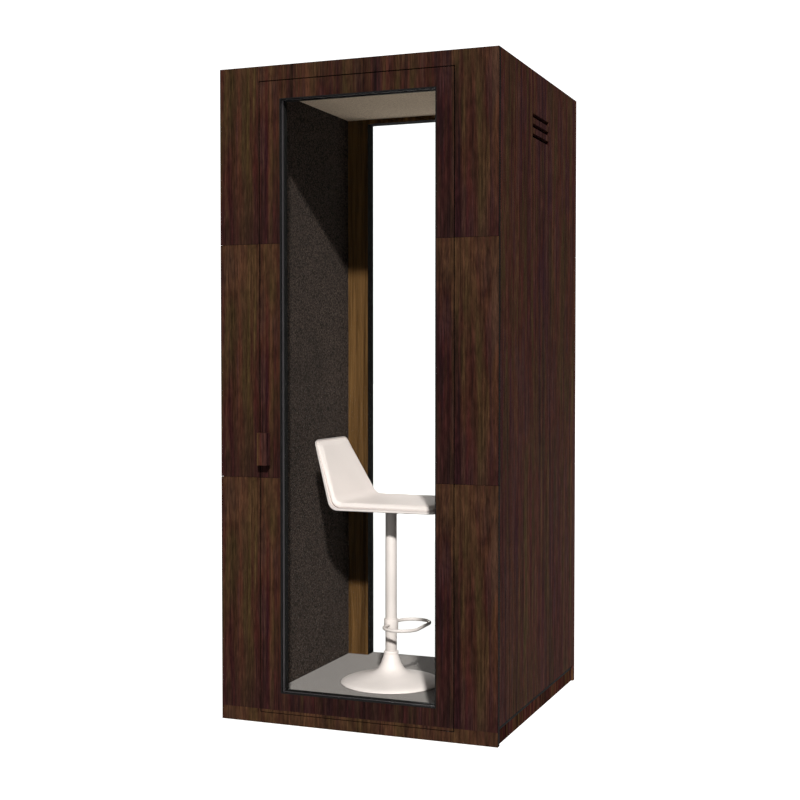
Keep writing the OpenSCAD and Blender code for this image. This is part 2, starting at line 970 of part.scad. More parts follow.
// The seat seen from the front: full width at the seat, narrower at the top of the backrest
module seat_outline() {
    corner_x = back_top_w / 2 - back_corner_r;
    corner_z = seat_bottom + shell_t / 2 + back_h + back_tip_r - back_corner_r;
    hull() {
        translate([-seat_w / 2, seat_bottom]) square([seat_w, shell_t]);
        for (side = [-1, 1]) translate([side * corner_x, corner_z]) circle(back_corner_r);
    }
}

module seat_shell() {
    reach = seat_front - seat_back + back_lean;
    color("#e6dedb") translate([stool_x, stool_y, 0]) intersection() {
        translate([0, seat_w / 2, 0]) rotate([90, 0, 0]) linear_extrude(seat_w) seat_profile();
        translate([-reach, 0, 0]) rotate([90, 0, 90]) linear_extrude(2 * reach) seat_outline();
    }
}

levelling_feet();
base_frame();
side_skirtings();
threshold_plate();
floor_deck();
floor_carpet();
wall_frames();
wall_cores();
left_cladding();
right_cladding();
left_felt();
right_felt();
roof_panel();
ceiling_panel();
front_lower_board();
front_middle_boards();
front_upper_board();
front_frame();
door_stops();
door_seal();
rear_boards();
rear_inner_frame();
rear_retaining_frame();
rear_glass();
rear_gasket();
top_pivot();
bottom_pivot();
catch_magnet();
fan_housing();
fan_grille();
ceiling_light();
light_diffuser();
desk_top();
desk_brackets();
control_panel();
stool_base();
stool_column();
footrest_ring();
door_latch_stile();
door_hinge_stile();
door_rails();
door_lower_skin();
door_middle_skins();
door_upper_skin();
door_panes();
door_glass_spacer();
door_gasket();
door_beads();
outer_handle();
inner_handle();
handle_bolts();
catch_plate();
pivot_bushes();
fan_rotor();
light_rocker();
fan_dial();
gas_piston();
seat_plate();
seat_shell();
lift_lever();
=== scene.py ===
import math

import bmesh
import bpy
from mathutils import Euler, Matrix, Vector
from mathutils.bvhtree import BVHTree


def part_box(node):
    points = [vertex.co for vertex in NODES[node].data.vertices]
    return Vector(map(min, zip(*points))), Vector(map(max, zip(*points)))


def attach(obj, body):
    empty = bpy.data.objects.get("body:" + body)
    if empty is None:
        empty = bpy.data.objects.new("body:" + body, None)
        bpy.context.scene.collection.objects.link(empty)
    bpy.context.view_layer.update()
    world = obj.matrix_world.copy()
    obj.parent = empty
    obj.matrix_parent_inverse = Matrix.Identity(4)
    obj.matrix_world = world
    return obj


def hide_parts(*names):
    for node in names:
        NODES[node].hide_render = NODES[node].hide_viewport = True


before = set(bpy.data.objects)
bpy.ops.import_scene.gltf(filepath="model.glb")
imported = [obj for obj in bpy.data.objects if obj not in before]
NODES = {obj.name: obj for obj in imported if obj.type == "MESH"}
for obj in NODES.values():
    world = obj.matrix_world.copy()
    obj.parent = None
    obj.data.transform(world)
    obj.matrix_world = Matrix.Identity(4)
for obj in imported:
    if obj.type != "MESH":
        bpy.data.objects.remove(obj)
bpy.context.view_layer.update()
MM = 0.001
SCENE = bpy.context.scene


# ---------------------------------------------------------------- node helpers

class Tree:
    """A material's node tree with short calls for the nodes used here."""

    def __init__(self, name):
        self.mat = bpy.data.materials.new(name)
        self.mat.use_nodes = True
        self.nodes = self.mat.node_tree.nodes
        self.links = self.mat.node_tree.links
        self.shader = self.nodes["Principled BSDF"]
        self.out = self.nodes["Material Output"]

    def new(self, kind, **values):
        """Adds a node and sets its own properties."""
        node = self.nodes.new(kind)
        for key, value in values.items():
            setattr(node, key, value)
        return node

    def feed(self, socket, value):
        """Links a socket to an input, or sets the input to a plain value."""
        if isinstance(value, bpy.types.NodeSocket):
            self.links.new(value, socket)
        elif value is not None:
            socket.default_value = value

    def coords(self, scale=(1, 1, 1), offset=(0, 0, 0), source=None):
        """Object coordinates, which are metres in the row frame, scaled axis by axis."""
        if source is None:
            source = self.new("ShaderNodeTexCoord").outputs["Object"]
        mapping = self.new("ShaderNodeMapping")
        self.links.new(source, mapping.inputs["Vector"])
        mapping.inputs["Scale"].default_value = scale
        mapping.inputs["Location"].default_value = offset
        return mapping.outputs["Vector"]

    def noise(self, vector, scale=1.0, detail=3.0, rough=0.5, distortion=0.0):
        node = self.new("ShaderNodeTexNoise")
        self.links.new(vector, node.inputs["Vector"])
        node.inputs["Scale"].default_value = scale
        node.inputs["Detail"].default_value = detail
        node.inputs["Roughness"].default_value = rough
        node.inputs["Distortion"].default_value = distortion
        return node.outputs["Fac"]

    def voronoi(self, vector, scale, feature="F1"):
        node = self.new("ShaderNodeTexVoronoi", feature=feature)
        self.links.new(vector, node.inputs["Vector"])
        node.inputs["Scale"].default_value = scale
        return node.outputs["Distance"]

    def ramp(self, value, stops):
        """A colour for a value, from (place, colour) stops."""
        node = self.new("ShaderNodeValToRGB")
        elements = node.color_ramp.elements
        while len(elements) < len(stops):
            elements.new(0.5)
        for element, (place, colour) in zip(elements, stops):
            element.position = place
            element.color = (*colour, 1)
        self.feed(node.inputs["Fac"], value)
        return node.outputs["Color"]

    def span(self, value, low, high, to_low=0.0, to_high=1.0):
        """Maps low..high to to_low..to_high, held at both ends."""
        node = self.new("ShaderNodeMapRange")
        self.feed(node.inputs["Value"], value)
        for name, number in (("From Min", low), ("From Max", high),
                             ("To Min", to_low), ("To Max", to_high)):
            node.inputs[name].default_value = number
        return node.outputs["Result"]

    def math(self, operation, a, b=None):
        node = self.new("ShaderNodeMath", operation=operation)
        self.feed(node.inputs[0], a)
        self.feed(node.inputs[1], b)
        return node.outputs[0]

    def mix(self, factor, a, b, blend="MIX"):
        node = self.new("ShaderNodeMix", data_type="RGBA", blend_type=blend)
        self.feed(node.inputs["Factor"], factor)
        colours = [s for s in node.inputs if s.type == "RGBA"]
        for socket, colour in zip(colours, (a, b)):
            self.feed(socket, (*colour, 1) if isinstance(colour, tuple) else colour)
        return [s for s in node.outputs if s.type == "RGBA"][0]

    def facing(self, axis):
        """How far a face looks along an axis of the frame, either way: 0 to 1."""
        split = self.new("ShaderNodeSeparateXYZ")
        self.links.new(self.new("ShaderNodeTexCoord").outputs["Normal"], split.inputs[0])
        return self.math("ABSOLUTE", split.outputs[axis])

    def bump(self, height, distance, strength=1.0, normal=None):
        node = self.new("ShaderNodeBump")
        self.feed(node.inputs["Height"], height)
        node.inputs["Distance"].default_value = distance
        node.inputs["Strength"].default_value = strength
        if normal is not None:
            self.links.new(normal, node.inputs["Normal"])
        return node.outputs["Normal"]

    def finish(self, colour, rough, normal, **sockets):
        """Feeds the shader. A keyword names a shader input, with _ for a blank."""
        self.feed(self.shader.inputs["Base Color"], colour)
        self.feed(self.shader.inputs["Roughness"], rough)
        self.links.new(normal, self.shader.inputs["Normal"])
        for name, value in sockets.items():
            self.shader.inputs[name.replace("_", " ")].default_value = value
        return self.mat


# ---------------------------------------------------------------- veneer and wood

def scaled(colour, k):
    return tuple(c * k for c in colour)


# The veneer's colours, and the two sets of tones its bands and streaks run through.
GOLD = (0.0430, 0.0215, 0.0100)
BROWN = (0.0215, 0.0088, 0.0055)
RED = (0.0265, 0.0072, 0.0058)
OLIVE = (0.0240, 0.0128, 0.0062)
PLUM = (0.0115, 0.0044, 0.0048)
DARK = (0.0050, 0.0024, 0.0020)
EDGE = (0.0055, 0.0036, 0.0032)
FIGURED = ((DARK, PLUM, BROWN, OLIVE, RED, GOLD), (DARK, PLUM, RED, BROWN, OLIVE, GOLD))
CALM = ((scaled(PLUM, 1.35), BROWN, RED, OLIVE, scaled(RED, 0.9), scaled(GOLD, 0.8)),
        (PLUM, scaled(RED, 0.8), BROWN, OLIVE, RED, scaled(GOLD, 0.85)))


VENEER_GLOSS = 0.46
BAND_STOPS = (0.36, 0.42, 0.46, 0.51, 0.56, 0.62)
STREAK_STOPS = (0.38, 0.44, 0.48, 0.53, 0.58, 0.63)


def veneer(name, level, across, sheet, seed, spread=1.0, edge_band=None, tones=FIGURED, spec=0.02):
    """Dark figured veneer with its grain along Z. Level is its brightness, and across is the axis
    over the sheet, X or Y. Sheet is (lowest joint, height) where sheets with the same figure are
    stacked, or None. Spread is how much the narrow streaks show over the broad bands. Edge_band is
    the colour of faces that look along X."""
    t = Tree(name)
    source = t.new("ShaderNodeTexCoord").outputs["Object"]
    split = t.new("ShaderNodeSeparateXYZ")
    t.links.new(source, split.inputs[0])
    width = split.outputs[across]
    depth = split.outputs["Y" if across == "X" else "X"]
    height = split.outputs["Z"]
    if sheet:
        low, tall = sheet
        share = t.math("FRACT", t.math("DIVIDE", t.math("SUBTRACT", height, low), tall))
        height = t.math("MULTIPLY", share, tall)
    joined = t.new("ShaderNodeCombineXYZ")
    for socket, value in zip(joined.inputs, (width, depth, height)):
        t.links.new(value, socket)
    at = joined.outputs[0]

    bands = t.noise(t.coords((9.5, 2, 0.30), (seed, 0, seed), at), 1.0, 1.5, 0.5, 0.25)
    streak = t.noise(t.coords((42, 8, 0.85), (seed, 3, 0), at), 1.0, 3.0, 0.55, 0.35)
    fine = t.noise(t.coords((170, 60, 3.2), (0, seed, 0), at), 1.0, 4.0, 0.62, 0.2)
    mottle = t.noise(t.coords((30, 10, 12), (seed, 0, 7), at), 1.0, 3.0, 0.6, 0.6)
    pores = t.noise(t.coords((640, 260, 15), (0, 0, seed), at), 1.0, 2.0, 0.5)
    dashes = t.noise(t.coords((210, 80, 22), (seed, 0, 3), at), 1.0, 2.0, 0.55, 0.4)
    hue = t.noise(t.coords((17, 5, 2.6), (0, seed, 11), at), 1.0, 2.0, 0.5, 0.5)

    base = t.ramp(bands, list(zip(BAND_STOPS, tones[0])))
    figure = t.ramp(streak, list(zip(STREAK_STOPS, tones[1])))
    colour = t.mix(0.55 * spread, base, figure)
    tinge = t.ramp(hue, [(0.38, (0.90, 1.18, 0.90)), (0.48, (1.0, 1.0, 1.0)),
                         (0.54, (1.10, 0.88, 0.96)), (0.62, (0.95, 0.90, 1.36))])
    colour = t.mix(0.80, colour, tinge, "MULTIPLY")
    if sheet:
        top = t.span(share, 0.52, 1.0, 0.0, 0.62)
        foot = t.span(share, 0.34, 0.0, 0.0, 0.62)
        wavy_top = t.math("MULTIPLY", top, t.span(mottle, 0.30, 0.62, 0.35, 1.0))
        wavy_foot = t.math("MULTIPLY", foot, t.span(streak, 0.35, 0.62, 0.55, 1.0))
        colour = t.mix(wavy_top, colour, GOLD)
        colour = t.mix(wavy_foot, colour, scaled(PLUM, 1.15))
    shade = t.math("MULTIPLY", t.span(fine, 0.32, 0.68, 0.60, 1.38),
                   t.span(mottle, 0.32, 0.70, 0.78, 1.20))
    shade = t.math("MULTIPLY", shade, t.span(pores, 0.34, 0.46, 0.62, 1.0))
    shade = t.math("MULTIPLY", shade, t.span(dashes, 0.34, 0.66, 0.72, 1.28))
    shade = t.math("MULTIPLY", shade, level)
    tone = t.new("ShaderNodeCombineColor")
    for channel in tone.inputs[:3]:
        t.links.new(shade, channel)
    colour = t.mix(1.0, colour, tone.outputs[0], "MULTIPLY")
    if edge_band:
        colour = t.mix(t.span(t.facing("X"), 0.75, 0.95), colour, edge_band)

    relief = t.math("ADD", t.math("MULTIPLY", fine, 0.5), t.span(pores, 0.34, 0.46, 0.0, 0.5))
    rough = t.span(fine, 0.3, 0.7, VENEER_GLOSS + 0.10, VENEER_GLOSS)
    return t.finish(colour, rough, t.bump(relief, 0.00035, 0.7), Specular_IOR_Level=spec)


def plain_wood(name, dark, light, across=(60, 60, 2.2), rough=0.55, spec=0.3, painted_shade=None):
    """Straight-grained wood. Across is the grain's fineness on each axis, least along the grain.
    Painted_shade, when given, is a dark colour for the faces that look along X or Z: painted shade,
    so that those faces read as out of the light."""
    t = Tree(name)
    broad = t.noise(t.coords(tuple(a / 6 for a in across)), 1.0, 2.0, 0.5, 0.8)
    grain = t.noise(t.coords(across), 1.0, 4.0, 0.6, 0.5)
    pores = t.noise(t.coords(tuple(a * 6 for a in across)), 1.0, 2.0, 0.5)
    value = t.math("ADD", t.math("MULTIPLY", broad, 0.45), t.math("MULTIPLY", grain, 0.55))
    colour = t.ramp(value, [(0.36, dark), (0.62, light)])
    tone = t.ramp(pores, [(0.36, (0.72, 0.70, 0.68)), (0.50, (1, 1, 1))])
    colour = t.mix(1.0, colour, tone, "MULTIPLY")
    # Painted shade: faces that do not look along Y turn dark.
    if painted_shade:
        colour = t.mix(t.span(t.facing("Y"), 0.5, 0.2), colour, painted_shade)
    return t.finish(colour, t.span(grain, 0.3, 0.7, rough + 0.08, rough - 0.05),
                    t.bump(t.math("ADD", grain, pores), 0.0004, 0.5),
                    Specular_IOR_Level=spec)


# ---------------------------------------------------------------- other materials

def speckled(name, colour, rough=0.5, grain=900, depth=0.00006, vary=0.12, **sockets):
    """A moulded or powder-coated surface: fine orange peel and slow changes of tone."""
    t = Tree(name)
    peel = t.noise(t.coords(), grain, 2.0, 0.5)
    cloud = t.noise(t.coords(), 7.0, 3.0, 0.5)
    tint = t.mix(t.span(cloud, 0.3, 0.7), scaled(colour, 1 - vary), scaled(colour, 1 + vary * 0.4))
    return t.finish(tint, t.span(cloud, 0.3, 0.7, rough - 0.05, rough + 0.07),
                    t.bump(peel, depth, 0.6), **sockets)


def brushed(name, colour, rough, along, metal=1.0):
    """Metal with fine lines. Along says how much longer than wide they are, on each axis."""
    t = Tree(name)
    lines = t.noise(t.coords(tuple(2500 / a for a in along)), 1.0, 2.0, 0.6)
    cloud = t.noise(t.coords(), 18.0, 3.0, 0.5)
    tint = t.mix(t.span(cloud, 0.3, 0.7), scaled(colour, 0.86), colour)
    return t.finish(tint, t.span(lines, 0.3, 0.7, rough - 0.08, rough + 0.12),
                    t.bump(lines, 0.00003, 0.5), Metallic=metal)


def felt(name, dark, light, emboss, scale):
    """Pressed felt with a pebbled emboss and loose fibres on top."""
    t = Tree(name)
    at = t.coords()
    warp = t.new("ShaderNodeTexNoise")
    t.links.new(at, warp.inputs["Vector"])
    warp.inputs["Scale"].default_value = scale * 0.6
    bent = t.new("ShaderNodeMixRGB", blend_type="LINEAR_LIGHT")
    bent.inputs["Fac"].default_value = 0.006
    t.links.new(at, bent.inputs["Color1"])
    t.links.new(warp.outputs["Color"], bent.inputs["Color2"])
    cells = t.voronoi(t.coords(source=bent.outputs["Color"], scale=(1, 1, 1.25)), scale,
                      "SMOOTH_F1")
    rows = t.noise(at, scale * 1.7, 3.0, 0.55, 0.8)
    fibres = t.noise(at, 2600.0, 3.0, 0.7)
    patches = t.noise(at, 3.5, 3.0, 0.5)
    height = t.math("ADD", t.span(cells, 0.10, 0.62, 1.0, 0.0), t.math("MULTIPLY", rows, 0.7))
    worn = t.math("MULTIPLY", t.span(height, 0.45, 1.25), t.span(fibres, 0.3, 0.7, 0.55, 1.15))
    colour = t.mix(worn, dark, light)
    colour = t.mix(t.span(patches, 0.35, 0.7, 0.0, 0.30), colour, scaled(dark, 0.9))
    pressed = t.bump(height, emboss, 0.85)
    return t.finish(colour, 0.92, t.bump(fibres, 0.0002, 0.6, pressed),
                    Specular_IOR_Level=0.03, Sheen_Weight=0.01, Sheen_Roughness=0.6)


def carpet(name, dark, light):
    """Loop pile with uneven tufts and faint worn patches."""
    t = Tree(name)
    loops = t.voronoi(t.coords(), 420.0)
    tufts = t.noise(t.coords(), 900.0, 3.0, 0.65)
    cloud = t.noise(t.coords(), 9.0, 4.0, 0.6)
    value = t.math("MULTIPLY", t.span(loops, 0.0, 0.7, 1.0, 0.45),
                   t.span(tufts, 0.3, 0.7, 0.7, 1.15))
    colour = t.mix(value, dark, light)
    colour = t.mix(t.span(cloud, 0.3, 0.7, 0.0, 0.22), colour, dark)
    height = t.math("ADD", t.span(loops, 0.0, 0.7, 1.0, 0.0), tufts)
    return t.finish(colour, 0.95, t.bump(height, 0.0016, 0.9),
                    Specular_IOR_Level=0.1, Sheen_Weight=0.2, Sheen_Roughness=0.5)


def leather(name, colour, painted_side_shade):
    """Soft coated leather. Faces that look along Y, the sides of the pad, take a darker colour:
    painted shade, so that they read no brighter than the sitting side under the key light.
    """
    t = Tree(name)
    pebble = t.voronoi(t.coords(), 620.0, "SMOOTH_F1")
    crease = t.noise(t.coords(), 38.0, 4.0, 0.6, 0.6)
    pores = t.noise(t.coords(), 2300.0, 2.0, 0.5)
    worn = t.noise(t.coords(), 6.0, 3.0, 0.5)
    tint = t.mix(t.span(worn, 0.35, 0.7), colour, scaled(colour, 0.93))
    tint = t.mix(t.span(crease, 0.60, 0.76, 0.0, 0.30), tint, (0.62, 0.56, 0.54))
    # Painted shade: faces that look along Y are darkened by the way they face.
    tint = t.mix(t.span(t.facing("Y"), 0.20, 0.80), tint, painted_side_shade)
    height = t.math("ADD", t.span(pebble, 0.1, 0.6, 1.0, 0.0), t.math("MULTIPLY", pores, 0.35))
    fine = t.bump(height, 0.00022, 0.6)
    return t.finish(tint, t.span(pebble, 0.1, 0.6, 0.42, 0.58),
                    t.bump(crease, 0.0012, 0.35, fine), Specular_IOR_Level=0.4)


def clear_glass(name):
    """Flat float glass: what is behind it shows, and it mirrors more at a slant."""
    t = Tree(name)
    clear = t.new("ShaderNodeBsdfTransparent")
    clear.inputs["Color"].default_value = (0.992, 0.995, 0.993, 1)
    mirror = t.new("ShaderNodeBsdfGlossy")
    smear = t.noise(t.coords((1, 1, 0.4)), 5.0, 4.0, 0.6)
    t.links.new(t.span(smear, 0.4, 0.75, 0.012, 0.05), mirror.inputs["Roughness"])
    facing = t.new("ShaderNodeLayerWeight")
    facing.inputs["Blend"].default_value = 0.12
    share = t.span(facing.outputs["Fresnel"], 0.0, 1.0, 0.0, 0.12)
    mixed = t.new("ShaderNodeMixShader")
    t.links.new(share, mixed.inputs["Fac"])
    t.links.new(clear.outputs[0], mixed.inputs[1])
    t.links.new(mirror.outputs[0], mixed.inputs[2])
    t.links.new(mixed.outputs[0], t.out.inputs["Surface"])
    t.nodes.remove(t.shader)
    return t.mat


HALF_JOINT = 0.5 * MM
JOINT_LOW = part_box("front_lower_board")[1].z + HALF_JOINT
SHEET_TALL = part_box("front_middle_boards")[1].z + HALF_JOINT - JOINT_LOW
SHEET = (JOINT_LOW - SHEET_TALL, SHEET_TALL)

FRONT_VENEER = veneer("veneer_front", 1.02, "X", SHEET, 2.3, edge_band=EDGE)
SIDE_VENEER = veneer("veneer_side", 1.60, "Y", None, 5.1, 1.1, tones=CALM, spec=0.006)
SKIRT_VENEER = veneer("veneer_skirting", 1.75, "Y", None, 9.4, spec=0.0)
BACK_VENEER = veneer("veneer_back", 2.0, "X", SHEET, 8.7, edge_band=scaled(RED, 1.5))
HANDLE_WOOD = veneer("veneer_handle", 1.45, "X", None, 1.4, tones=CALM)
DESK_WOOD = veneer("veneer_desk", 2.4, "X", None, 6.6)
CORE_WOOD = plain_wood("stained_core", (0.008, 0.005, 0.004), (0.02, 0.011, 0.008))
BLACK_WOOD = plain_wood("black_stained_wood", (0.0050, 0.0048, 0.0045), (0.012, 0.0112, 0.0105),
                        spec=0.08)
# Its last colour is painted shade on the faces that look along X or Z, such as the head's underside
# and the stiles' sides.
REAR_WOOD = plain_wood("oiled_brown_wood", (0.024, 0.0112, 0.0034), (0.118, 0.0620, 0.0215),
                       (62, 62, 1.5), 0.65, 0.03, (0.0036, 0.0028, 0.0022))
SOFTWOOD = plain_wood("planed_softwood", (0.38, 0.25, 0.13), (0.62, 0.46, 0.28))
PLYWOOD = plain_wood("birch_plywood", (0.36, 0.26, 0.15), (0.55, 0.42, 0.27), (4, 60, 60))
WALL_FELT = felt("wall_felt_charcoal", (0.0180, 0.0140, 0.0120), (0.100, 0.071, 0.0570),
                 0.0009, 165.0)
CEILING_FELT = felt("ceiling_felt_beige", (0.72, 0.57, 0.43), (0.97, 0.82, 0.63), 0.0005, 150.0)
MINERAL_WOOL = felt("mineral_wool", (0.25, 0.22, 0.10), (0.5, 0.46, 0.26), 0.0015, 60.0)
CARPET = carpet("loop_carpet_grey", (0.096, 0.081, 0.073), (0.228, 0.196, 0.176))
STOOL_WHITE = speckled("stool_powder_coat", (0.60, 0.548, 0.525), 0.42, 1100,
                        Specular_IOR_Level=0.3)
# The foot takes the stool's white made lighter: painted light, evening the foot with the column,
# which takes more of the key light.
FOOT_WHITE_PAINTED_LIGHTER = speckled("stool_coat_painted_lighter", (0.70, 0.64, 0.615), 0.42, 1100,
                       Specular_IOR_Level=0.3)
# The second colour is painted shade for the sides of the pad.
SEAT_LEATHER = leather("seat_leather_white", (0.80, 0.725, 0.695), (0.60, 0.545, 0.525))
SEAM = speckled("seat_piping", (0.50, 0.45, 0.435), 0.5, 1500)
RUBBER = speckled("black_rubber", (0.006, 0.006, 0.0062), 0.7, 1500, 0.00005, 0.2,
                  Specular_IOR_Level=0.08)
BEAD = speckled("charcoal_bead", (0.0075, 0.0072, 0.0070), 0.65, 1400, 0.00004, 0.15,
                Specular_IOR_Level=0.06)
SPACER = brushed("spacer_aluminium", (0.040, 0.036, 0.040), 0.6, (1, 1, 60), 0.1)
ALUMINIUM = brushed("threshold_aluminium", (0.62, 0.62, 0.63), 0.34, (60, 1, 1))
STEEL = brushed("satin_steel", (0.55, 0.54, 0.53), 0.30, (1, 1, 20))
DARK_STEEL = brushed("blackened_steel", (0.035, 0.034, 0.033), 0.42, (1, 1, 20), 0.7)
CHROME = brushed("satin_chrome", (0.78, 0.76, 0.75), 0.16, (1, 1, 40))
BRASS = brushed("turned_brass", (0.70, 0.50, 0.22), 0.30, (1, 1, 1))
ROOF = speckled("roof_laminate", (0.0115, 0.0108, 0.0102), 0.85, 700, 0.0001, 0.2,
                Specular_IOR_Level=0.04)
FRAME_PAINT = speckled("frame_powder_coat", (0.030, 0.031, 0.033), 0.5, 900)
BLACK_METAL = speckled("black_powder_coat", (0.018, 0.018, 0.019), 0.48, 1000)
BLACK_PLASTIC = speckled("black_plastic", (0.012, 0.012, 0.0125), 0.55, 1300)
WHITE_PLASTIC = speckled("white_plastic", (0.72, 0.72, 0.70), 0.38, 1300, 0.00003, 0.05)
WHITE_METAL = speckled("white_powder_coat", (0.72, 0.715, 0.70), 0.45, 1000)
OPAL = speckled("opal_diffuser", (0.85, 0.85, 0.82), 0.35, 1500, 0.00003, 0.03)
GLASS = clear_glass("clear_float_glass")


# ---------------------------------------------------------------- CAD nodes: finish and edges

MERGE_GAP = 0.02 * MM
SHARP_EDGE = math.radians(35)


def dress(node, material, edge):
    """Gives a CAD node its finish, and rounds its sharp edges by a modifier."""
    obj = NODES[node]
    obj.data.materials.clear()
    obj.data.materials.append(material)
    if edge:
        weld = obj.modifiers.new("weld", "WELD")
        weld.merge_threshold = MERGE_GAP
        bevel = obj.modifiers.new("edge", "BEVEL")
        bevel.width = edge
        bevel.segments = 2
        bevel.limit_method = "ANGLE"
        bevel.angle_limit = SHARP_EDGE


# For each finish, its nodes and the width of their rounded edges in millimetres.
DRESS = {
    FRONT_VENEER: ("front_lower_board front_middle_boards front_upper_board door_lower_skin"
                   " door_middle_skins door_upper_skin", 0.8),
    SIDE_VENEER: ("left_cladding right_cladding", 0.8),
    BACK_VENEER: ("rear_boards", 0.8),
    HANDLE_WOOD: ("outer_handle inner_handle", 1.4),
    DESK_WOOD: ("desk_top", 1.5),
    SKIRT_VENEER: ("side_skirtings", 0.6),
    BLACK_WOOD: ("front_frame door_stops rear_retaining_frame", 0.6),
    ROOF: ("roof_panel", 0.6),
    CORE_WOOD: ("door_latch_stile door_hinge_stile door_rails", 0.4),
    REAR_WOOD: ("rear_inner_frame", 1.2),
    SOFTWOOD: ("wall_frames", 0),
    PLYWOOD: ("floor_deck", 0),
    WALL_FELT: ("left_felt right_felt", 0),
    CEILING_FELT: ("ceiling_panel", 0),
    MINERAL_WOOL: ("wall_cores", 0),
    CARPET: ("floor_carpet", 0),
    STOOL_WHITE: ("stool_column footrest_ring", 0.5),
    RUBBER: ("door_seal rear_gasket door_gasket", 0.3),
    BEAD: ("door_beads", 0.8),
    SPACER: ("door_glass_spacer", 0),
    ALUMINIUM: ("threshold_plate", 0.3),
    STEEL: ("handle_bolts catch_plate levelling_feet", 0.3),
    DARK_STEEL: ("top_pivot bottom_pivot", 0.3),
    CHROME: ("gas_piston lift_lever", 0.4),
    BRASS: ("pivot_bushes", 0),
    FRAME_PAINT: ("base_frame seat_plate", 0.5),
    BLACK_METAL: ("fan_grille desk_brackets", 0.5),
    BLACK_PLASTIC: ("fan_housing fan_rotor fan_dial catch_magnet", 0.3),
    WHITE_PLASTIC: ("control_panel light_rocker", 0.8),
    WHITE_METAL: ("ceiling_light", 0.5),
    OPAL: ("light_diffuser", 0.3),
    GLASS: ("door_panes rear_glass", 0),
}
for material, (names, edge) in DRESS.items():
    for node in names.split():
        dress(node, material, edge * MM)


# ---------------------------------------------------------------- mesh helpers

def add_mesh(name, verts, faces, material, body, slot, smooth=True):
    """A new piece from corners in millimetres."""
    mesh = bpy.data.meshes.new(name)
    mesh.from_pydata([tuple(c * MM for c in v) for v in verts], [], faces)
    mesh.validate()
    mesh.materials.append(material)
    if smooth:
        mesh.shade_smooth()
    obj = bpy.data.objects.new(name, mesh)
    SCENE.collection.objects.link(obj)
    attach(obj, body)
    return obj


def loft(rings, closed=False):
    """Corners and faces of a skin over rings that have the same number of points. It is closed
    to itself, or else capped at both ends."""
    count = len(rings[0])
    verts = [p for ring in rings for p in ring]
    faces = []
    for i in range(len(rings) if closed else len(rings) - 1):
        a, b = i * count, (i + 1) % len(rings) * count
        for j in range(count):
            k = (j + 1) % count
            faces.append((a + j, a + k, b + k, b + j))
    if not closed:
        faces.append(tuple(reversed(range(count))))
        faces.append(tuple(range(len(verts) - count, len(verts))))
    return verts, faces


def add_skin(verts, faces, skin):
    """Adds one more (corners, faces) to the lists of a piece made of several."""
    more, rims = skin
    faces.extend(tuple(i + len(verts) for i in rim) for rim in rims)
    verts.extend(more)


def tube(path, radius, sides, closed):
    """Rings of a round cord along a path given in millimetres."""
    rings = []
    total = len(path)
    for i, point in enumerate(path):
        before = path[(i - 1) % total] if closed or i else path[0]
        after = path[(i + 1) % total] if closed or i < total - 1 else path[-1]
        along = (Vector(after) - Vector(before)).normalized()
        side = along.cross(Vector((0.02, 0.03, 1)) if abs(along.z) < 0.9 else Vector((1, 0, 0)))
        side.normalize()
        up = side.cross(along)
        rings.append([tuple(Vector(point) + radius * (math.cos(a) * side + math.sin(a) * up))
                      for a in (2 * math.pi * j / sides for j in range(sides))])
    return rings


def spun(profile, centre, sides):
    """Corners and faces of a shape turned about a vertical line, from (radius, height) points."""
    turns = [2 * math.pi * j / sides for j in range(sides)]
    verts = [(centre[0] + r * math.cos(a), centre[1] + r * math.sin(a), z)
             for a in turns for r, z in profile]
    count = len(profile)
    faces = []
    for j in range(sides):
        a, b = j * count, (j + 1) % sides * count
        faces += [(a + k, b + k, b + k + 1, a + k + 1) for k in range(count - 1)]
    return verts, faces


def smooth_curve(points, per_span):
    """Catmull-Rom points through the given (radius, height) points."""
    result = []
    ends = [points[0], *points, points[-1]]
    for i in range(1, len(ends) - 2):
        p0, p1, p2, p3 = (Vector(p) for p in ends[i - 1:i + 3])
        for k in range(per_span):
            u = k / per_span
            q = 0.5 * (2 * p1 + (p2 - p0) * u + (2 * p0 - 5 * p1 + 4 * p2 - p3) * u * u
                       + (3 * p1 - p0 - 3 * p2 + p3) * u ** 3)
            result.append(tuple(q))
    result.append(tuple(points[-1]))
    return result


def mm_box(node):
    """The low and high corners of a CAD node's box, in millimetres."""
    low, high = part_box(node)
    return [c / MM for c in low], [c / MM for c in high]


def even_points(path, gap):
    """Points along a closed path, one every gap."""
    points, left = [], 0.0
    for a, b in zip(path, path[1:] + path[:1]):
        a, b = Vector(a), Vector(b)
        length = (b - a).length
        while left < length:
            points.append(a.lerp(b, left / length))
            left += gap
        left -= length
    return points


# ---------------------------------------------------------------- seat

SEAT_LOW, SEAT_HIGH = mm_box("seat_shell")
STOOL_AXIS = [(a + b) / 2 for a, b in zip(*mm_box("stool_column"))][:2]
SEAT_HALF = (SEAT_HIGH[1] - SEAT_LOW[1]) / 2
SEAT_T = 28.0           # thickness of the seat
NOSE = 12.0             # depth of its rounded front and top edges
NOSE_ANGLES = [math.radians(a) for a in (18, 34, 50, 66, 82)]
SHELL_SHARE = 0.34      # share of the thickness that the shell under the pad has
LOWER_BEND, UPPER_BEND = (154.7, 36.0), (135.9, 34.0)   # corner behind the axis, bend radius
LOWER_TIP, UPPER_TIP = 240.5, 228.0                     # the back's top, behind the axis
TIP_STEP = 2.0          # the sitting side's top is this much higher
BACK_RISE = 204.0       # height over which the back narrows
BACK_TAPER = 55.0       # by how much, on each side
FRONT_CORNER = 34.0     # radius of the seat's front corners
BACK_CORNER = 22.0      # radius of the back's top corners
PATH_STEPS = (26, 12, 22)
CORNER_STEPS = 5
FLAT_STEPS = 14


